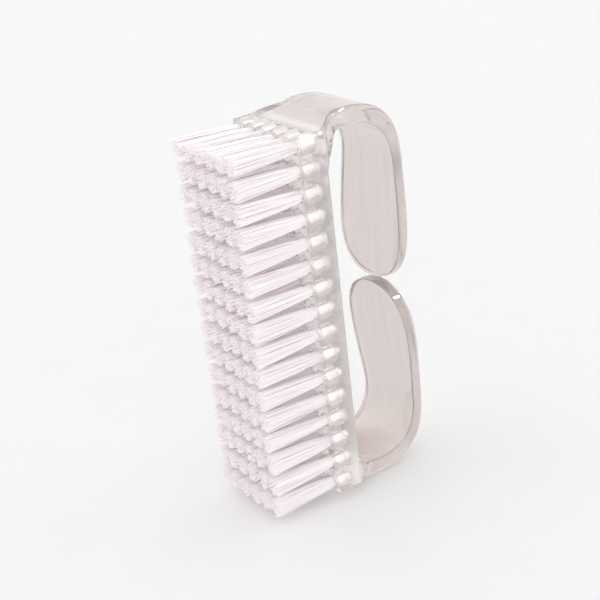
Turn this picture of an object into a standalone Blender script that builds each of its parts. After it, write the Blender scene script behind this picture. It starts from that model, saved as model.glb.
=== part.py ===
"""Acrylic nail brush: a clear moulded plate and handle in one piece, and sixteen rows of nylon tufts.

Run it with blender --background --python part.py, or from Blender's text editor. Lengths are in metres.
It stands on a short end: +Z runs along the plate, the bristles point along -X and the handle is at +X.
The empty "nail_brush" holds every part. Its own origin is the middle of the plate's front face.
"""

from math import cos, pi, radians, sin

import bmesh
import bpy
from mathutils import Matrix, Vector
from mathutils.geometry import interpolate_bezier

MM = 0.001

# The grid of tufts and the plate round it.
ROWS, COLUMNS = 16, 6
ROW_PITCH, COLUMN_PITCH = 5.6 * MM, 4.4 * MM
EDGE = 2.6 * MM  # from the middle of an outer hole to the plate's edge
PLATE_LENGTH = (ROWS - 1) * ROW_PITCH + 2 * EDGE
PLATE_WIDTH = (COLUMNS - 1) * COLUMN_PITCH + 2 * EDGE
RIM_THICKNESS = 5.2 * MM  # the scalloped front of the plate
SLAB_THICKNESS = 1.5 * MM  # the straight-edged back of the plate
PLATE_THICKNESS = RIM_THICKNESS + SLAB_THICKNESS
BOSS_RADIUS = 2.5 * MM
VALLEY_DEPTH = 0.9 * MM  # from the top of a boss to the web between two bosses
CORNER_RADIUS = 1.1 * MM
JOIN = 0.4 * MM  # how far two shapes that fuse run into each other

# The blind holes and the tufts in them.
SIDES = 8
HOLE_RADIUS = 1.5 * MM
HOLE_DEPTH = 5.0 * MM
GAP = 0.3 * MM
TUFT_RADIUS = HOLE_RADIUS - GAP
TUFT_LENGTH = 17.2 * MM  # from the plate's front face to the cut ends
TIP_HALF_WIDTH = COLUMN_PITCH / 2 + 0.1 * MM  # neighbours in a row meet at their tips
TIP_HALF_HEIGHT = 2.3 * MM

# The middle line of a prong, seen from the side: x from the plate's front face, u out from the plate's middle.
LEG_THICKNESS = 4.3 * MM
FLAT_THICKNESS = 3.2 * MM
ROOT = Vector((3.8 * MM, 42.35 * MM))
CREST = Vector((15.5 * MM, 44.8 * MM))  # the leg is furthest out here
BACK = Vector((28.8 * MM, 31.5 * MM))  # the flat is furthest back here
TIP_GAP = 1.7 * MM
TIP = Vector((26.5 * MM, TIP_GAP / 2))
TIP_LEAN = 1.12  # above 1, the flat leans in slowly at first
SQUARENESS = 0.65  # a handle's share of its side in the bend: 0.552 would be an ellipse

# Half the width of a prong from root to tip.
ROOT_HALF_WIDTH = PLATE_WIDTH / 2 - 0.25 * MM
NECK_HALF_WIDTH = 9.8 * MM
FLAT_HALF_WIDTH = 11.5 * MM
END_LENGTH = 13.0 * MM  # the rounded end
END_POWER = 0.83  # 1 would make the end half an ellipse, and below 1 it's blunter
PRONG_CHAMFER = 0.8 * MM
ROOT_FILLET = 6.0 * MM  # between the plate's back and the inner side of a leg

# The object's box has its bottom centre at the world's origin.
TOP = CREST.y + LEG_THICKNESS / 2
HANDLE_BACK = BACK.x + FLAT_THICKNESS / 2
CENTRE = Vector(((TUFT_LENGTH - HANDLE_BACK) / 2, 0, TOP))


def clear_scene():
    for obj in list(bpy.data.objects):
        bpy.data.objects.remove(obj)
    for collection in list(bpy.data.collections):
        bpy.data.collections.remove(collection)


def new_collection(name):
    collection = bpy.data.collections.new(name)
    bpy.context.scene.collection.children.link(collection)
    return collection


def material(name, colour, roughness, transmission=0.0, ior=1.5):
    made = bpy.data.materials.new(name)
    made.use_nodes = True
    shader = made.node_tree.nodes["Principled BSDF"]
    shader.inputs["Base Color"].default_value = (*colour, 1)
    shader.inputs["Roughness"].default_value = roughness
    shader.inputs["Metallic"].default_value = 0.0
    shader.inputs["Transmission Weight"].default_value = transmission
    shader.inputs["IOR"].default_value = ior
    return made


def object_from(bm, name, collection, parent):
    """An object made of this bmesh, with its faces turned out."""
    bmesh.ops.recalc_face_normals(bm, faces=bm.faces[:])
    mesh = bpy.data.meshes.new(name)
    bm.to_mesh(mesh)
    bm.free()
    obj = bpy.data.objects.new(name, mesh)
    collection.objects.link(obj)
    obj.parent = parent
    return obj


def as_cutter(obj):
    obj.hide_render = True
    obj.display_type = "WIRE"
    return obj


def boolean(obj, other, operation):
    modifier = obj.modifiers.new(f"{operation.lower()} {other.name}", "BOOLEAN")
    modifier.operation = operation
    modifier.solver = "EXACT"
    modifier.object = other


def hole_places():
    """(row, column, y, z) of every hole, row 0 at the top."""
    for row in range(ROWS):
        for column in range(COLUMNS):
            y = (column - (COLUMNS - 1) / 2) * COLUMN_PITCH
            z = ((ROWS - 1) / 2 - row) * ROW_PITCH
            yield row, column, y, z


def arc(centre, radius, start, end, steps):
    """Points on an arc in the YZ plane, with its angles in degrees from +Y towards +Z."""
    angles = [radians(start + (end - start) * i / steps) for i in range(steps + 1)]
    return [(centre[0] + radius * cos(a), centre[1] + radius * sin(a)) for a in angles]


def scalloped_outline():
    """Round the plate anticlockwise from the right-hand side: a boss at each outer hole."""
    half_angle = 48.0  # the boss's arc each side of its top, down to the web
    reach_y = PLATE_WIDTH / 2 - EDGE
    reach_z = PLATE_LENGTH / 2 - EDGE
    rows = [(i - (ROWS - 1) / 2) * ROW_PITCH for i in range(ROWS)]
    columns = [(i - (COLUMNS - 1) / 2) * COLUMN_PITCH for i in range(COLUMNS)]
    sides = (
        (0, [(reach_y, z) for z in rows]),
        (90, [(y, reach_z) for y in reversed(columns)]),
        (180, [(-reach_y, z) for z in reversed(rows)]),
        (270, [(y, -reach_z) for y in columns]),
    )
    points = []
    for facing, centres in sides:
        for centre in centres[1:-1]:
            points += arc(centre, BOSS_RADIUS, facing - half_angle, facing + half_angle, 4)
        corner = centres[-1]
        out = (BOSS_RADIUS - CORNER_RADIUS) * 2 ** 0.5
        inner = arc(corner, out, facing + 45, facing + 45, 1)[0]
        points += arc(corner, BOSS_RADIUS, facing - half_angle, facing, 2)
        points += arc(inner, CORNER_RADIUS, facing, facing + 90, 4)
        points += arc(corner, BOSS_RADIUS, facing + 90, facing + 90 + half_angle, 2)
    return points


def rounded_outline():
    """The slab's outline, with rounded corners."""
    y = PLATE_WIDTH / 2 - CORNER_RADIUS
    z = PLATE_LENGTH / 2 - CORNER_RADIUS
    corners = ((0, (y, z)), (90, (-y, z)), (180, (-y, -z)), (270, (y, -z)))
    points = []
    for start, centre in corners:
        points += arc(centre, CORNER_RADIUS, start, start + 90, 4)
    return points


def prism(name, outline, front, back, collection, parent):
    """A closed solid with this YZ outline, from x = front to x = back."""
    bm = bmesh.new()
    face = bm.faces.new([bm.verts.new((front, y, z)) for y, z in outline])
    pushed = bmesh.ops.extrude_face_region(bm, geom=[face])
    moved = [v for v in pushed["geom"] if isinstance(v, bmesh.types.BMVert)]
    bmesh.ops.translate(bm, verts=moved, vec=(back - front, 0, 0))
    return object_from(bm, name, collection, parent)


def hole_cutter(collection, parent):
    """One cutter with a blind hole for every tuft, each with flat sides along Y and Z."""
    bm = bmesh.new()
    length = HOLE_DEPTH + JOIN
    turn = Matrix.Rotation(pi / 2, 4, "Y") @ Matrix.Rotation(pi / SIDES, 4, "Z")
    for _, _, y, z in hole_places():
        place = Matrix.Translation((HOLE_DEPTH - length / 2, y, z))
        bmesh.ops.create_cone(
            bm, cap_ends=True, segments=SIDES, radius1=HOLE_RADIUS, radius2=HOLE_RADIUS,
            depth=length, matrix=place @ turn,
        )
    return as_cutter(object_from(bm, "hole_cutter", collection, parent))


def smooth_step(value, start, end):
    share = min(max((value - start) / (end - start), 0.0), 1.0)
    return share * share * (3 - 2 * share)


def prong_line():
    """The prong's middle line from root to tip, as (x, u) points, without the rounded end."""
    side = BACK - CREST
    leg = interpolate_bezier(
        ROOT, ROOT + Vector((4.0 * MM, 0.2 * MM)), CREST - Vector((4.5 * MM, 0)), CREST, 12
    )
    bend = interpolate_bezier(
        CREST, CREST + Vector((side.x * SQUARENESS, 0)),
        BACK - Vector((0, side.y * SQUARENESS)), BACK, 11,
    )
    return leg + bend[1:] + flat_line(BACK.y, TIP.y + END_LENGTH, 4)[1:]


def flat_line(start, end, steps):
    """Points on the flat from one u to another: it leans in more and more towards the tip."""
    points = []
    for i in range(steps + 1):
        u = start + (end - start) * i / steps
        share = (BACK.y - u) / (BACK.y - TIP.y)
        points.append(Vector((BACK.x + (TIP.x - BACK.x) * share ** TIP_LEAN, u)))
    return points


def prong_stations():
    """(middle, half width, thickness) of each section of a prong, from root to tip."""
    stations = []
    for point in prong_line():
        narrowing = smooth_step(point.x, 6.5 * MM, 12.5 * MM)
        half_width = ROOT_HALF_WIDTH + (NECK_HALF_WIDTH - ROOT_HALF_WIDTH) * narrowing
        widening = smooth_step(-point.y, -36 * MM, -TIP.y - END_LENGTH)
        half_width += (FLAT_HALF_WIDTH - NECK_HALF_WIDTH) * widening
        thinning = smooth_step(-point.y, -CREST.y, -BACK.y)
        thickness = LEG_THICKNESS + (FLAT_THICKNESS - LEG_THICKNESS) * thinning
        stations.append((point, half_width, thickness))
    for angle in (15, 30, 43, 55, 66, 76, 87):
        u = TIP.y + END_LENGTH * (1 - sin(radians(angle)) ** END_POWER)
        point = flat_line(u, u, 1)[0]
        half_width = FLAT_HALF_WIDTH * cos(radians(angle)) ** END_POWER
        stations.append((point, half_width, FLAT_THICKNESS))
    return stations


def root_fillet(x):
    """How much deeper the leg's inner side is at this x, where it curves into the plate's back."""
    if x < PLATE_THICKNESS - JOIN * 2:
        return 0.0
    reach = min(max(PLATE_THICKNESS + ROOT_FILLET - x, 0.0), ROOT_FILLET)
    return ROOT_FILLET - (ROOT_FILLET ** 2 - reach ** 2) ** 0.5


def prong(name, up, collection, parent):
    """One prong: a chamfered rectangle carried along the middle line. up is 1 or -1."""
    stations = prong_stations()
    middles = [station[0] for station in stations]
    bm = bmesh.new()
    rings = []
    for i, (middle, half_width, thickness) in enumerate(stations):
        along = middles[min(i + 1, len(middles) - 1)] - middles[max(i - 1, 0)]
        if middle == CREST:
            along = Vector((1, 0))
        if middle == BACK:
            along = Vector((0, -1))
        across = Vector((-along.y, along.x)).normalized()
        cut = min(PRONG_CHAMFER, half_width * 0.45)
        w, t = half_width, thickness / 2
        section = (
            (w, t - cut), (w - cut, t), (cut - w, t), (-w, t - cut),
            (-w, cut - t), (cut - w, -t), (w - cut, -t), (w, cut - t),
        )
        ring = []
        for y, out in section:
            place = middle + across * out
            if out < 0:
                place.y -= root_fillet(place.x)
            ring.append(bm.verts.new((place.x, y, place.y * up)))
        rings.append(ring)
    for first, second in zip(rings, rings[1:]):
        for k in range(len(first)):
            n = (k + 1) % len(first)
            bm.faces.new((first[k], first[n], second[n], second[k]))
    bm.faces.new(rings[0])
    bm.faces.new(rings[-1])
    return as_cutter(object_from(bm, name, collection, parent))


def tuft(name, y, collection, parent):
    """A tuft from the bottom of its hole to its cut end, splayed on the way out."""
    bm = bmesh.new()
    stretch = 1 / cos(pi / SIDES)  # turns half a width across flats into a corner's radius
    stations = (
        (HOLE_DEPTH - GAP, TUFT_RADIUS / stretch, TUFT_RADIUS / stretch),
        (-0.6 * MM, TUFT_RADIUS / stretch, TUFT_RADIUS / stretch),
        (-TUFT_LENGTH, TIP_HALF_WIDTH, TIP_HALF_HEIGHT),
    )
    rings = []
    for x, half_y, half_z in stations:
        ring = []
        for i in range(SIDES):
            angle = (i + 0.5) * 2 * pi / SIDES
            place = (x, y + half_y * stretch * cos(angle), half_z * stretch * sin(angle))
            ring.append(bm.verts.new(place))
        rings.append(ring)
    for first, second in zip(rings, rings[1:]):
        for k in range(SIDES):
            n = (k + 1) % SIDES
            bm.faces.new((first[k], first[n], second[n], second[k]))
    bm.faces.new(rings[0])
    bm.faces.new(rings[-1])
    return object_from(bm, name, collection, parent)


def row_mesh(collection, parent):
    """The mesh of one row: its tufts, joined where their tips meet."""
    places = [(column - (COLUMNS - 1) / 2) * COLUMN_PITCH for column in range(COLUMNS)]
    tufts = [as_cutter(tuft(f"tuft_{i}", y, collection, parent)) for i, y in enumerate(places)]
    for other in tufts[1:]:
        boolean(tufts[0], other, "UNION")
    graph = bpy.context.evaluated_depsgraph_get()
    joined = bpy.data.meshes.new_from_object(tufts[0].evaluated_get(graph))
    for obj in tufts:
        bpy.data.objects.remove(obj)
    joined.name = "tuft_row"
    return joined


def smooth_round_faces(obj, angle):
    for polygon in obj.data.polygons:
        polygon.use_smooth = True
    obj.data.set_sharp_from_angle(angle=radians(angle))


def build():
    clear_scene()
    parts = new_collection("nail_brush")
    cutters = new_collection("cutters")

    origin = bpy.data.objects.new("nail_brush", None)
    origin.location = CENTRE
    parts.objects.link(origin)

    clear_acrylic = material("clear_acrylic", (0.93, 0.90, 0.89), 0.05, 1.0, 1.49)
    white_nylon = material("white_nylon", (0.90, 0.87, 0.89), 0.4)

    body = prism("brush_body", scalloped_outline(), 0, RIM_THICKNESS + JOIN, parts, origin)
    slab = prism("slab", rounded_outline(), RIM_THICKNESS, PLATE_THICKNESS, cutters, origin)
    boolean(body, as_cutter(slab), "UNION")
    boolean(body, prong("upper_prong", 1, cutters, origin), "UNION")
    boolean(body, prong("lower_prong", -1, cutters, origin), "UNION")
    boolean(body, hole_cutter(cutters, origin), "DIFFERENCE")
    body.data.materials.append(clear_acrylic)
    smooth_round_faces(body, 30)

    shared = row_mesh(cutters, origin)
    shared.materials.clear()
    shared.materials.append(white_nylon)
    for row in range(ROWS):
        obj = bpy.data.objects.new(f"tuft_row_{row + 1:02d}", shared)
        obj.location.z = ((ROWS - 1) / 2 - row) * ROW_PITCH
        obj.parent = origin
        parts.objects.link(obj)


build()
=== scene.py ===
from math import cos, pi, radians, sin

import bmesh
import bpy
import numpy as np
from mathutils import Matrix, Vector
from mathutils.geometry import interpolate_bezier


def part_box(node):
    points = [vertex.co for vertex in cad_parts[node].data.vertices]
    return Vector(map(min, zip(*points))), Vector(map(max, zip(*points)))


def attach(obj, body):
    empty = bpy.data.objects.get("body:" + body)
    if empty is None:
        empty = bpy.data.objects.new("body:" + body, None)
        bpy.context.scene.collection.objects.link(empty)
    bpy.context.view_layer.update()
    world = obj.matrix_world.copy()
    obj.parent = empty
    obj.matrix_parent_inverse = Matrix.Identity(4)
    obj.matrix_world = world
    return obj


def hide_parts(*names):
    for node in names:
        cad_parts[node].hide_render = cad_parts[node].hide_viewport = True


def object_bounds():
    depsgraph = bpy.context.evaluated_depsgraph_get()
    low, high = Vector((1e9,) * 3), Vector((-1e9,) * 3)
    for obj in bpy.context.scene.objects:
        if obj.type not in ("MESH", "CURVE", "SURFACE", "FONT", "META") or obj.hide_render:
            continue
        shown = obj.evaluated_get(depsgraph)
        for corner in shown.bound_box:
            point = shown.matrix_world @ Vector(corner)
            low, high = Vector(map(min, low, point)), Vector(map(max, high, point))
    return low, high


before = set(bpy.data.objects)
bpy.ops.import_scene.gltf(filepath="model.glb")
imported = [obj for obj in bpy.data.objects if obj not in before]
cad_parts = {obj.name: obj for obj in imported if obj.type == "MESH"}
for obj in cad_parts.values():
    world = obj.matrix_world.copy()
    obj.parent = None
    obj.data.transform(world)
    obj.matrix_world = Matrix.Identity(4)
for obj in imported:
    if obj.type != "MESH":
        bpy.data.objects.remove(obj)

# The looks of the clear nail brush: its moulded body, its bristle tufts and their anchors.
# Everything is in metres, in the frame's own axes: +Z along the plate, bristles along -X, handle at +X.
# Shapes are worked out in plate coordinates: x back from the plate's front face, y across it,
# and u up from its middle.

MM = 0.001
CAD_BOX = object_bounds()

# Read off the frame: the body's box, and the heights of the rows of tufts.
BODY_LOW, BODY_HIGH = (Vector(corner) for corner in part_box("brush_body"))
FRONT = BODY_LOW.x
MIDDLE = (BODY_LOW.z + BODY_HIGH.z) / 2
ROWS, COLUMNS = 16, 6
ROW_NODES = [f"tuft_row_{row + 1:02d}" for row in range(ROWS)]
ROW_BOXES = [[Vector(corner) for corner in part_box(node)] for node in ROW_NODES]
ROW_HEIGHTS = [(low.z + high.z) / 2 - MIDDLE for low, high in ROW_BOXES]
TUFT_LENGTH = FRONT - ROW_BOXES[0][0].x

# The plate.
COLUMN_PITCH = 4.4 * MM
COLUMN_PLACES = [(column - (COLUMNS - 1) / 2) * COLUMN_PITCH for column in range(COLUMNS)]
HALF_WIDTH = (BODY_HIGH.y - BODY_LOW.y) / 2
EDGE = HALF_WIDTH - COLUMN_PLACES[-1]  # from the middle of an outer hole to the plate's edge
HALF_LENGTH = ROW_HEIGHTS[0] + EDGE
PLATE_THICKNESS = 6.7 * MM
BOSS_RADIUS = EDGE - 0.1 * MM
VALLEY_DEPTH = 0.9 * MM  # from the top of a boss to the web between two bosses
VALLEY_SOFTNESS = 0.12 * MM  # how gently a boss runs into that web
FLUTE_END = 6.0 * MM  # the scallops are gone at this depth, and the plate's back edge is straight
FLUTE_SHARES = (0.3, 0.5, 0.6, 0.7, 0.8, 0.9, 1.0)  # of that depth, where the plate has a section
FADE_START = 0.5  # the share of that depth at which the scallops start to fade
CORNER_RADIUS = 1.1 * MM
RIM_FILLET, BACK_FILLET = 0.45 * MM, 0.5 * MM

# The blind holes.
HOLE_RADIUS, HOLE_DEPTH = 1.5 * MM, 5.0 * MM
HOLE_SIDES = 20
HOLE_FLOOR = ((0.4 * MM, 1.0), (0.1 * MM, 0.85), (0.0, 0.5))  # (height above it, share of the radius)
MOUTH_CHAMFER = 0.15 * MM
CHAMFER_START = -0.1 * MM  # in front of the plate's face, inside the swelling
LIP_RADIUS, LIP_HEIGHT = 2.05 * MM, 0.28 * MM  # the swelling that tufting leaves round a hole's mouth
LIP_SIDES, LIP_STEPS = 24, 6
LIP_ROOT = 0.4 * MM  # how far the swelling runs into the plate, to fuse with it
CUTTER_REACH = 0.5 * MM  # how far the cutter of the holes stands out of the plate

# A prong's middle line, as (x, u), and its section.
LEG_THICKNESS, FLAT_THICKNESS = 4.3 * MM, 3.2 * MM
ROOT = Vector((3.8 * MM, 42.35 * MM))
CREST = Vector((15.5 * MM, BODY_HIGH.z - MIDDLE - LEG_THICKNESS / 2))
BACK = Vector((BODY_HIGH.x - FRONT - FLAT_THICKNESS / 2, 31.5 * MM))
TIP = Vector((26.5 * MM, 0.85 * MM))
ROOT_HANDLE, CREST_HANDLE = Vector((4.0 * MM, 0.2 * MM)), Vector((4.5 * MM, 0))
SQUARENESS = 0.65  # a handle's share of its side in the bend: 0.552 would be an ellipse
TIP_LEAN = 1.12  # above 1, the flat leans in slowly at first
ROOT_HALF_WIDTH = HALF_WIDTH - 0.25 * MM
NECK_HALF_WIDTH, FLAT_HALF_WIDTH = 9.8 * MM, 11.5 * MM
NECK_START, NECK_END = 6.5 * MM, 12.5 * MM  # the x between which the leg narrows to its neck
WIDEN_START = 36 * MM  # the u below which the flat widens again
END_LENGTH = 13.0 * MM
END_START = TIP.y + END_LENGTH
END_POWER = 0.83  # 1 would make the end half an ellipse, and below 1 it's blunter
END_STEPS = 24
END_ANGLE = radians(89)  # at 90 degrees the end would close to a line
INNER_FILLET, OUTER_FILLET = 0.5 * MM, 1.3 * MM
MOST_ROUNDED = 0.8  # the most of a section's half width that its fillets take, near the tip
ROOT_FILLET = 6.0 * MM  # between the plate's back and the inner side of a leg
ROOT_OVERLAP = 0.6 * MM  # how far that fillet goes on into the plate
SHARP_ANGLE = radians(40)  # edges over this are drawn sharp

# The bristles. Each tuft's strands are folded in half round an anchor.
STRANDS = 60
STRAND_RADIUS = 0.13 * MM
STRAND_SIDES = 4
STRAND_SHARES = (0.0, 0.4, 1.0)  # of the length outside the plate, where a strand has a station
SPLAY_ACROSS, SPLAY_ALONG = 1.6, 1.8  # how many times wider a tuft is at its tips
SPLAY_CURVE = 0.75  # below 1, most of the splay is near the plate
SQUEEZE = 0.85  # how wide a tuft is at its anchor, as a share of its width at the hole's mouth
FOLD_DEPTH, FOLD_HEIGHT = HOLE_DEPTH - 0.55 * MM, 0.3 * MM  # the fold passes under the anchor
TIP_SETBACK = 0.25 * MM  # of the longest bristles from the front of the CAD tufts

# How much the bristles vary, as standard deviations.
ROOT_SCATTER, TIP_SCATTER, LENGTH_SCATTER = 0.05 * MM, 0.13 * MM, 0.35 * MM
WAVE, TUFT_LEAN = 0.08 * MM, 0.10 * MM
SPLAY_SCATTER = 0.06
RANDOM = np.random.default_rng(8)

# The anchors: strips a little longer than a hole is wide, so that they bite into its wall.
ANCHOR_HEIGHT, ANCHOR_LENGTH, ANCHOR_THICKNESS = 1.3 * MM, 2 * HOLE_RADIUS + 0.1 * MM, 0.3 * MM
ANCHOR_DEPTH = HOLE_DEPTH - 1.35 * MM  # of its middle
ANCHOR_BEVEL = 0.05 * MM


def to_frame(x, y, u):
    return (FRONT + x, y, MIDDLE + u)


def smooth_step(value, start, end):
    share = min(max((value - start) / (end - start), 0.0), 1.0)
    return share * share * (3 - 2 * share)


def link(obj):
    bpy.context.scene.collection.objects.link(obj)
    return obj


def object_from(bm, name):
    bmesh.ops.recalc_face_normals(bm, faces=bm.faces[:])
    mesh = bpy.data.meshes.new(name)
    bm.to_mesh(mesh)
    bm.free()
    return link(bpy.data.objects.new(name, mesh))


def loft(bm, rings):
    """Joins closed rings of bmesh vertices into one closed skin."""
    for first, second in zip(rings, rings[1:]):
        for k in range(len(first)):
            n = (k + 1) % len(first)
            bm.faces.new((first[k], first[n], second[n], second[k]))
    bm.faces.new(rings[0])
    bm.faces.new(rings[-1])


def apply_modifiers(obj):
    """Bakes an object's modifiers into its mesh."""
    graph = bpy.context.evaluated_depsgraph_get()
    made = bpy.data.meshes.new_from_object(obj.evaluated_get(graph))
    obj.modifiers.clear()
    obj.data = made


def boolean(obj, other, operation):
    modifier = obj.modifiers.new(operation.lower(), "BOOLEAN")
    modifier.operation = operation
    modifier.solver = "EXACT"
    modifier.object = other
    apply_modifiers(obj)
    bpy.data.objects.remove(other)


# ---- the plate ----

def boss_depth(offset):
    """How far the rim is in from the top of a boss, at this offset along the edge from the boss's middle."""
    reach = min(abs(offset), BOSS_RADIUS * 0.999)
    depth = BOSS_RADIUS - (BOSS_RADIUS ** 2 - reach ** 2) ** 0.5
    boss, web = np.exp(-depth / VALLEY_SOFTNESS), np.exp(-VALLEY_DEPTH / VALLEY_SOFTNESS)
    return -VALLEY_SOFTNESS * np.log(boss + web)


def side_outline(centres, steps):
    """(place along the side, depth) from the middle of the first boss to just short of the last one's."""
    points = []
    for first, second in zip(centres, centres[1:]):
        for i in range(steps):
            place = first + (second - first) * i / steps
            nearest = first if i < steps / 2 else second
            points.append((place, boss_depth(place - nearest)))
    return points


def plate_outlines(steps=14, corner_steps=10):
    """Two matched outlines of the plate in (y, u), as arrays: the scalloped rim and the straight slab."""
    along = side_outline(ROW_HEIGHTS[::-1], steps)
    across = side_outline(COLUMN_PLACES, steps)
    sides = ((along, HALF_WIDTH, HALF_LENGTH), (across, HALF_LENGTH, HALF_WIDTH))
    recess = EDGE - BOSS_RADIUS
    rim, slab = [], []
    for quarter in range(4):
        turn = Matrix.Rotation(quarter * pi / 2, 2)
        side, edge, end = sides[quarter % 2]
        corner = Vector((edge - EDGE, end - EDGE))
        for place, depth in side:
            rim.append(turn @ Vector((edge - recess - depth, place)))
            slab.append(turn @ Vector((edge, place)))
        for i in range(corner_steps):
            angle = i / corner_steps * pi / 2
            way = Vector((cos(angle), sin(angle)))
            for outline, reach in ((rim, BOSS_RADIUS), (slab, EDGE)):
                inner = corner + Vector((reach - CORNER_RADIUS, reach - CORNER_RADIUS))
                outline.append(turn @ (inner + way * CORNER_RADIUS))
    return np.array(rim), np.array(slab)


def inset(outline, distance):
    """The closed outline moved in along its normals."""
    along = np.roll(outline, -1, 0) - np.roll(outline, 1, 0)
    normal = np.stack([along[:, 1], -along[:, 0]], 1)
    normal /= np.linalg.norm(normal, axis=1)[:, None]
    return outline - normal * distance


def fillet(radius, steps=4):
    """(depth, inset) pairs round a quarter circle, from the flat face to the full outline."""
    angles = [i / steps * pi / 2 for i in range(steps + 1)]
    return [(radius * (1 - cos(a)), radius * (1 - sin(a))) for a in angles]


def plate():
    rim, slab = plate_outlines()
    sections = [(depth, inset(rim, distance)) for depth, distance in fillet(RIM_FILLET)]
    for share in FLUTE_SHARES:
        fade = smooth_step(share, FADE_START, 1.0)
        sections.append((FLUTE_END * share, rim + (slab - rim) * fade))
    for depth, distance in reversed(fillet(BACK_FILLET)):
        sections.append((PLATE_THICKNESS - depth, inset(slab, distance)))
    bm = bmesh.new()
    rings = [[bm.verts.new(to_frame(x, y, u)) for y, u in outline] for x, outline in sections]
    loft(bm, rings)
    return object_from(bm, "clear_body")


def turned(name, profile, sides):
    """One mesh that has a turned solid of this (x, radius) profile at every hole."""
    bm = bmesh.new()
    angles = [2 * pi * i / sides for i in range(sides)]
    for u in ROW_HEIGHTS:
        for y in COLUMN_PLACES:
            rings = []
            for x, radius in profile:
                ring = [to_frame(x, y + radius * cos(a), u + radius * sin(a)) for a in angles]
                rings.append([bm.verts.new(place) for place in ring])
            loft(bm, rings)
    return object_from(bm, name)


def lips():
    """A low rounded swelling round every hole's mouth."""
    angles = [i / LIP_STEPS * pi / 2 for i in range(LIP_STEPS + 1)]
    wide = LIP_RADIUS - HOLE_RADIUS
    dome = [(-LIP_HEIGHT * cos(a), LIP_RADIUS - wide * (1 - sin(a))) for a in angles]
    return turned("lips", [*dome, (LIP_ROOT, LIP_RADIUS)], LIP_SIDES)


def hole_cutter():
    """Every blind hole: a chamfered mouth, a straight wall and a rounded floor."""
    mouth = HOLE_RADIUS + MOUTH_CHAMFER
    floor = [(HOLE_DEPTH - height, HOLE_RADIUS * share) for height, share in HOLE_FLOOR]
    profile = [(-CUTTER_REACH, mouth), (CHAMFER_START, mouth), (MOUTH_CHAMFER, HOLE_RADIUS), *floor]
    return turned("hole_cutter", profile, HOLE_SIDES)


# ---- the prongs ----

def flat_point(u):
    share = (BACK.y - u) / (BACK.y - TIP.y)
    return Vector((BACK.x + (TIP.x - BACK.x) * share ** TIP_LEAN, u))


def section_at(point):
    """(middle, half width, thickness) of the prong here, before its rounded end."""
    narrowing = smooth_step(point.x, NECK_START, NECK_END)
    widening = smooth_step(-point.y, -WIDEN_START, -END_START)
    thinning = smooth_step(-point.y, -CREST.y, -BACK.y)
    half_width = ROOT_HALF_WIDTH
    half_width += (NECK_HALF_WIDTH - ROOT_HALF_WIDTH) * narrowing
    half_width += (FLAT_HALF_WIDTH - NECK_HALF_WIDTH) * widening
    return point, half_width, LEG_THICKNESS + (FLAT_THICKNESS - LEG_THICKNESS) * thinning


def prong_stations(leg_steps=24, bend_steps=32, flat_steps=14):
    """(middle, half width, thickness) of each section of a prong, from its root to its tip."""
    side = BACK - CREST
    leg = interpolate_bezier(ROOT, ROOT + ROOT_HANDLE, CREST - CREST_HANDLE, CREST, leg_steps)
    bend = interpolate_bezier(
        CREST, CREST + Vector((side.x * SQUARENESS, 0)),
        BACK - Vector((0, side.y * SQUARENESS)), BACK, bend_steps,
    )
    drop = END_START - BACK.y
    flat = [flat_point(BACK.y + drop * i / flat_steps) for i in range(1, flat_steps + 1)]
    stations = [section_at(point) for point in leg + bend[1:] + flat]
    for i in range(1, END_STEPS + 1):
        angle = END_ANGLE * i / END_STEPS
        point = flat_point(END_START - END_LENGTH * sin(angle) ** END_POWER)
        stations.append((point, FLAT_HALF_WIDTH * cos(angle) ** END_POWER, FLAT_THICKNESS))
    return stations


def rounded_section(half_width, thickness, steps=6):
    """(across, out) points round a section: well rounded outside, crisper on the finger side."""
    half = thickness / 2
    points = []
    for start, side, out in ((0, 1, 1), (90, -1, 1), (180, -1, -1), (270, 1, -1)):
        fillet_size = OUTER_FILLET if out > 0 else INNER_FILLET
        wide = min(fillet_size, half_width * MOST_ROUNDED)
        for i in range(steps + 1):
            angle = radians(start + 90 * i / steps)
            across = side * (half_width - wide) + wide * cos(angle)
            away = out * (half - fillet_size) + fillet_size * sin(angle)
            points.append((across, away))
    return points


def root_fillet(x):
    """How much deeper the leg's inner side is at this x, where it curves into the plate's back."""
    if x < PLATE_THICKNESS - ROOT_OVERLAP:
        return 0.0
    reach = min(max(PLATE_THICKNESS + ROOT_FILLET - x, 0.0), ROOT_FILLET)
    return ROOT_FILLET - (ROOT_FILLET ** 2 - reach ** 2) ** 0.5


def prong(up):
    """The upper prong where up is 1, and the lower one where it's -1."""
    stations = prong_stations()
    middles = [station[0] for station in stations]
    bm = bmesh.new()
    rings = []
    for i, (middle, half_width, thickness) in enumerate(stations):
        along = middles[min(i + 1, len(middles) - 1)] - middles[max(i - 1, 0)]
        across = Vector((-along.y, along.x)).normalized()
        ring = []
        for y, out in rounded_section(half_width, thickness):
            place = middle + across * out
            if out < 0:
                place.y -= root_fillet(place.x)
            ring.append(bm.verts.new(to_frame(place.x, y, place.y * up)))
        rings.append(ring)
    loft(bm, rings)
    return object_from(bm, "prong")


def clear_body():
    body = plate()
    boolean(body, prong(1), "UNION")
    boolean(body, prong(-1), "UNION")
    boolean(body, lips(), "UNION")
    boolean(body, hole_cutter(), "DIFFERENCE")
    for polygon in body.data.polygons:
        polygon.use_smooth = True
    body.data.set_sharp_from_angle(angle=SHARP_ANGLE)
    weighted = body.modifiers.new("weighted normals", "WEIGHTED_NORMAL")
    weighted.keep_sharp = True
    apply_modifiers(body)
    return body


# ---- bristles ----

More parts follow.
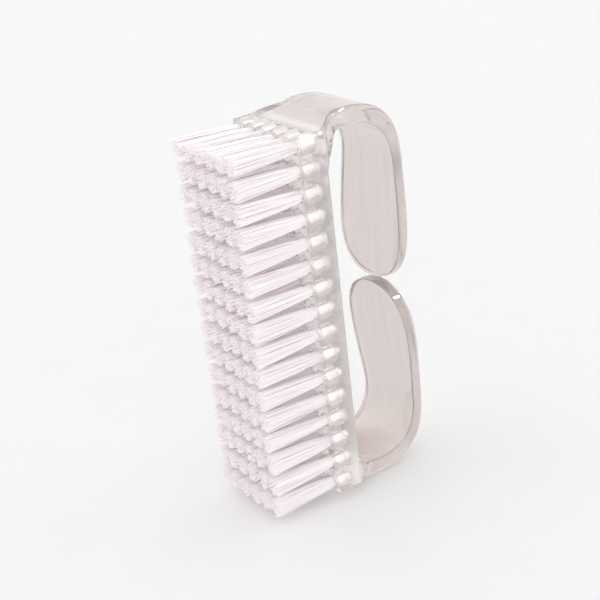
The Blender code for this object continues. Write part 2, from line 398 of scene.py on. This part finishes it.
def half_disc(count, radius):
    """Evenly spread (y, u) places in a disc's upper half, by a sunflower spiral over the whole disc."""
    places = []
    k = 0
    while len(places) < count:
        r = radius * ((k + 0.5) / (2 * count)) ** 0.5
        angle = k * pi * (3 - 5 ** 0.5)
        if sin(angle) >= 0:
            places.append((r * cos(angle), r * sin(angle)))
        k += 1
    return np.array(places)


def strand_paths(y, u):
    """One tuft's strands, as an array (strand, station, xyz in plate coordinates).

    A strand starts at a cut end, station 0, goes into the hole over the anchor, folds at station 4,
    and comes out under the anchor to its other cut end, station 8.
    """
    upper = half_disc(STRANDS, HOLE_RADIUS - STRAND_RADIUS)
    lower = upper * (1, -1)
    upper = upper + RANDOM.normal(0, ROOT_SCATTER, upper.shape)
    partner = lower[RANDOM.permutation(STRANDS)]
    lower = (partner + lower) / 2 + RANDOM.normal(0, ROOT_SCATTER, lower.shape)
    lean = RANDOM.normal(0, TUFT_LEAN, 2)
    paths = np.zeros((STRANDS, 9, 3))
    for roots, mouth, step in ((upper, 2, -1), (lower, 6, 1)):
        splay = (SPLAY_ACROSS, SPLAY_ALONG + RANDOM.normal(0, SPLAY_SCATTER))
        tips = roots * splay + lean + RANDOM.normal(0, TIP_SCATTER, roots.shape)
        length = TUFT_LENGTH - TIP_SETBACK - np.abs(RANDOM.normal(0, LENGTH_SCATTER, STRANDS))
        wave = RANDOM.normal(0, WAVE, (STRANDS, 2))
        for i, share in enumerate(STRAND_SHARES):
            splayed = roots + (tips - roots) * share ** SPLAY_CURVE
            paths[:, mouth + step * i, 0] = -length * share
            paths[:, mouth + step * i, 1:] = splayed + wave * sin(share * pi)
        paths[:, mouth - step, 0] = FOLD_DEPTH
        paths[:, mouth - step, 1:] = roots * SQUEEZE
    paths[:, 4, 0] = FOLD_DEPTH + FOLD_HEIGHT
    paths[:, 4, 1:] = (paths[:, 3, 1:] + paths[:, 5, 1:]) / 2
    return paths + (0, y, u)


def unit(vectors):
    return vectors / np.linalg.norm(vectors, axis=-1, keepdims=True)


def tubes(paths, radius, sides):
    """(vertices, faces) of a closed tube round every path."""
    count, stations, _ = paths.shape
    along = unit(np.gradient(paths, axis=1))
    side = unit(np.cross(along, (0.0, 1.0, 0.15)))
    other = np.cross(along, side)
    angles = np.arange(sides)[:, None] * 2 * pi / sides
    ring = side[:, :, None] * np.cos(angles) + other[:, :, None] * np.sin(angles)
    vertices = (paths[:, :, None] + ring * radius).reshape(-1, 3)
    k = np.arange(sides)
    n = (k + 1) % sides
    quads = np.stack([k, n, n + sides, k + sides], 1)
    start = np.arange(count)[:, None] * stations * sides
    rings = start + np.arange(stations - 1) * sides
    walls = (rings.reshape(-1, 1, 1) + quads).reshape(-1, 4)
    caps = [start + k[::-1], start + (stations - 1) * sides + k]
    return vertices, [face for faces in (walls, *caps) for face in faces.tolist()]


def bristle_row(row):
    paths = np.concatenate([strand_paths(y, ROW_HEIGHTS[row]) for y in COLUMN_PLACES])
    vertices, faces = tubes(paths, STRAND_RADIUS, STRAND_SIDES)
    mesh = bpy.data.meshes.new(f"bristles_{row + 1:02d}")
    mesh.from_pydata((vertices + (FRONT, 0, MIDDLE)).tolist(), [], faces)
    return link(bpy.data.objects.new(mesh.name, mesh))


def anchors():
    """The flat metal strips that hold the tufts, one across each hole."""
    bm = bmesh.new()
    size = Matrix.Diagonal((ANCHOR_HEIGHT, ANCHOR_LENGTH, ANCHOR_THICKNESS, 1))
    for u in ROW_HEIGHTS:
        for y in COLUMN_PLACES:
            place = Matrix.Translation(to_frame(ANCHOR_DEPTH, y, u))
            bmesh.ops.create_cube(bm, size=1, matrix=place @ size)
    bmesh.ops.bevel(
        bm, geom=bm.edges[:], offset=ANCHOR_BEVEL, segments=2, affect="EDGES", profile=0.5
    )
    return object_from(bm, "anchors")


# ---- materials ----

# How clear the plastic is, by depth behind the front face as a share of twice the plate's thickness:
# clear at the bosses, a little milkier at the plate's back, and clearest in the prongs.
CLARITY = ((0.0, 0.75), (0.25, 0.74), (0.45, 0.66), (0.60, 0.88))
PRONG_TINT = ((0.47, 0.0), (0.57, 1.0))  # how much of the prongs' tint it has, by the same share
DIMPLES = ((0.0, 1.0), (0.30, 0.0))  # the front is uneven from tufting


def new_material(name):
    """(material, node tree, Principled shader)"""
    made = bpy.data.materials.new(name)
    made.use_nodes = True
    return made, made.node_tree, made.node_tree.nodes["Principled BSDF"]


def feed(node, **inputs):
    """Sets a node's inputs, each to a value or from a socket. In a name, _ stands for a space."""
    for name, value in inputs.items():
        socket = node.inputs[name.replace("_", " ")]
        if isinstance(value, bpy.types.NodeSocket):
            node.id_data.links.new(value, socket)
        else:
            socket.default_value = value
    return node


def object_coordinates(tree):
    return tree.nodes.new("ShaderNodeTexCoord").outputs["Object"]


def noise(tree, scale, detail, stretch=(1, 1, 1)):
    """A noise texture on object coordinates, drawn out along an axis by a small factor there."""
    mapping = feed(tree.nodes.new("ShaderNodeMapping"), Vector=object_coordinates(tree), Scale=stretch)
    texture = feed(tree.nodes.new("ShaderNodeTexNoise"), Scale=scale, Detail=detail)
    return feed(texture, Vector=mapping.outputs["Vector"]).outputs["Fac"]


def ramp(tree, value, stops):
    """A ramp through (position, colour) stops. A plain number stands for a grey."""
    made = feed(tree.nodes.new("ShaderNodeValToRGB"), Fac=value)
    elements = made.color_ramp.elements
    for _ in stops[2:]:
        elements.new(1.0)
    for element, (position, colour) in zip(elements, stops):
        element.position = position
        element.color = (*np.broadcast_to(colour, 3), 1)
    return made.outputs["Color"]


def mottled(tree, value, dark, light):
    """A colour that varies between these two, or between two greys, over the middle of a noise's range."""
    return ramp(tree, value, ((0.3, dark), (0.7, light)))


def map_range(tree, value, low, high):
    made = feed(tree.nodes.new("ShaderNodeMapRange"), Value=value, To_Min=low, To_Max=high)
    return made.outputs["Result"]


def bump(tree, height, strength, distance, under=None):
    """A bump, on top of another one where its normal is given."""
    made = feed(tree.nodes.new("ShaderNodeBump"), Height=height, Strength=strength, Distance=distance)
    if under:
        feed(made, Normal=under)
    return made.outputs["Normal"]


def depth_share(tree):
    """Depth behind the front face, from 0 to 1 at twice the plate's thickness."""
    split = feed(tree.nodes.new("ShaderNodeSeparateXYZ"), Vector=object_coordinates(tree))
    made = feed(tree.nodes.new("ShaderNodeMapRange"), Value=split.outputs["X"])
    return feed(made, From_Min=FRONT, From_Max=FRONT + 2 * PLATE_THICKNESS).outputs["Result"]


def clear_acrylic():
    """Clear plastic with faint flow lines: milkier in the plate, and clearer and greyer in the prongs."""
    made, tree, shader = new_material("clear_acrylic_look")
    depth = depth_share(tree)
    haze = noise(tree, scale=120, detail=5)
    flow = noise(tree, scale=420, detail=3, stretch=(1, 1, 0.05))
    scuffs = noise(tree, scale=900, detail=6, stretch=(1, 1, 0.15))
    dents = noise(tree, scale=900, detail=1)
    tint = feed(
        tree.nodes.new("ShaderNodeMixRGB"),
        Fac=ramp(tree, depth, PRONG_TINT),
        Color1=mottled(tree, haze, (0.990, 0.958, 0.952), (0.997, 0.972, 0.966)),
        Color2=mottled(tree, flow, (0.745, 0.68, 0.66), (0.815, 0.75, 0.73)),
    )
    dimples = bump(tree, dents, strength=ramp(tree, depth, DIMPLES), distance=0.03 * MM)
    feed(
        shader,
        IOR=1.49,
        Base_Color=tint.outputs["Color"],
        Transmission_Weight=ramp(tree, depth, CLARITY),
        Roughness=map_range(tree, scuffs, low=0.02, high=0.07),
        Normal=bump(tree, flow, strength=0.5, distance=0.04 * MM, under=dimples),
    )
    return made


def white_nylon():
    """White filament with a faint lavender cast, grained along its length."""
    made, tree, shader = new_material("white_nylon_look")
    tone = noise(tree, scale=700, detail=3, stretch=(0.15, 1, 1))
    grain = noise(tree, scale=3000, detail=2, stretch=(0.1, 1, 1))
    feed(
        shader,
        Base_Color=mottled(tree, tone, (0.985, 0.961, 0.970), (0.991, 0.969, 0.978)),
        Roughness=0.4,
        Specular_IOR_Level=0.15,
        Normal=bump(tree, grain, strength=0.2, distance=0.01 * MM),
    )
    return made


def anchor_metal():
    """Plain strip metal, brushed along its length."""
    made, tree, shader = new_material("anchor_metal_look")
    brushed = noise(tree, scale=2500, detail=3, stretch=(1, 0.1, 1))
    feed(
        shader,
        Metallic=1.0,
        Base_Color=mottled(tree, brushed, (0.72, 0.70, 0.67), (0.84, 0.82, 0.80)),
        Roughness=map_range(tree, brushed, low=0.2, high=0.4),
    )
    return made


def floor_paper():
    """Pale matt paper."""
    made, tree, shader = new_material("pale_floor")
    colour = mottled(tree, noise(tree, scale=40, detail=2), 0.93, 0.94)
    feed(shader, Base_Color=colour, Roughness=0.9, Specular_IOR_Level=0.1)
    return made


# ---- stage ----

FLOOR_SIZE = 6  # metres
SKY_STRENGTH = 0.98
GLINTS = {"glint": (-0.35, -0.60, 0.75), "streak": (0.50, -0.35, 0.79)}  # small lamps, for highlights
MOST_BOUNCES, DIFFUSE_BOUNCES = 64, 48  # light crosses many walls of clear plastic, and many bristles
AZIMUTH, ELEVATION, ROLL = radians(57.15), radians(23.54), radians(-6.8)
FIELD_OF_VIEW = radians(25.17)
DISTANCE = 318.1 * MM
AIM = Vector((-1.77 * MM, 1.44 * MM, MIDDLE + 0.57 * MM))


def sun(name, direction, power, angle):
    """A distant soft light in this direction from the object, this many degrees wide."""
    data = bpy.data.lights.new(name, "SUN")
    data.energy = power
    data.angle = radians(angle)
    lamp = link(bpy.data.objects.new(name, data))
    lamp.rotation_euler = (-Vector(direction)).to_track_quat("-Z", "Y").to_euler()
    return lamp


def light_studio():
    """An even, bright dome, a soft low key light, and two small lamps for highlights."""
    world = bpy.data.worlds.new("studio")
    bpy.context.scene.world = world
    world.use_nodes = True
    feed(world.node_tree.nodes["Background"], Color=(1, 1, 1, 1), Strength=SKY_STRENGTH)
    sun("key", (-0.50, -0.83, 0.25), power=0.25, angle=50)
    for name, direction in GLINTS.items():
        lamp = sun(name, direction, power=3.5, angle=7)
        lamp.visible_diffuse = lamp.visible_transmission = False


def lay_floor():
    bpy.ops.mesh.primitive_plane_add(size=FLOOR_SIZE, location=(0, 0, CAD_BOX[0][2]))
    floor = bpy.context.object
    floor.name = "floor"
    floor.data.materials.append(floor_paper())


def set_camera():
    way = Vector((cos(AZIMUTH) * cos(ELEVATION), sin(AZIMUTH) * cos(ELEVATION), -sin(ELEVATION)))
    turn = way.to_track_quat("-Z", "Y").to_matrix() @ Matrix.Rotation(ROLL, 3, "Z")
    data = bpy.data.cameras.new("camera")
    data.lens_unit = "FOV"
    data.angle = FIELD_OF_VIEW
    data.clip_start = 10 * MM
    camera = link(bpy.data.objects.new("camera", data))
    camera.matrix_world = Matrix.Translation(AIM - way * DISTANCE) @ turn.to_4x4()
    bpy.context.scene.camera = camera
    bpy.context.scene.view_settings.view_transform = "Standard"


def set_light_paths():
    cycles = bpy.context.scene.cycles
    cycles.max_bounces = MOST_BOUNCES
    cycles.transmission_bounces = MOST_BOUNCES
    cycles.glossy_bounces = MOST_BOUNCES
    cycles.diffuse_bounces = DIFFUSE_BOUNCES


def finish_piece(obj, material, nodes=()):
    obj.data.materials.clear()
    obj.data.materials.append(material)
    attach(obj, "root")
    if nodes:
        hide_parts(*nodes)


finish_piece(clear_body(), clear_acrylic(), ["brush_body"])
nylon = white_nylon()
for index, node in enumerate(ROW_NODES):
    finish_piece(bristle_row(index), nylon, [node])
finish_piece(anchors(), anchor_metal())
lay_floor()
light_studio()
set_camera()
set_light_paths()
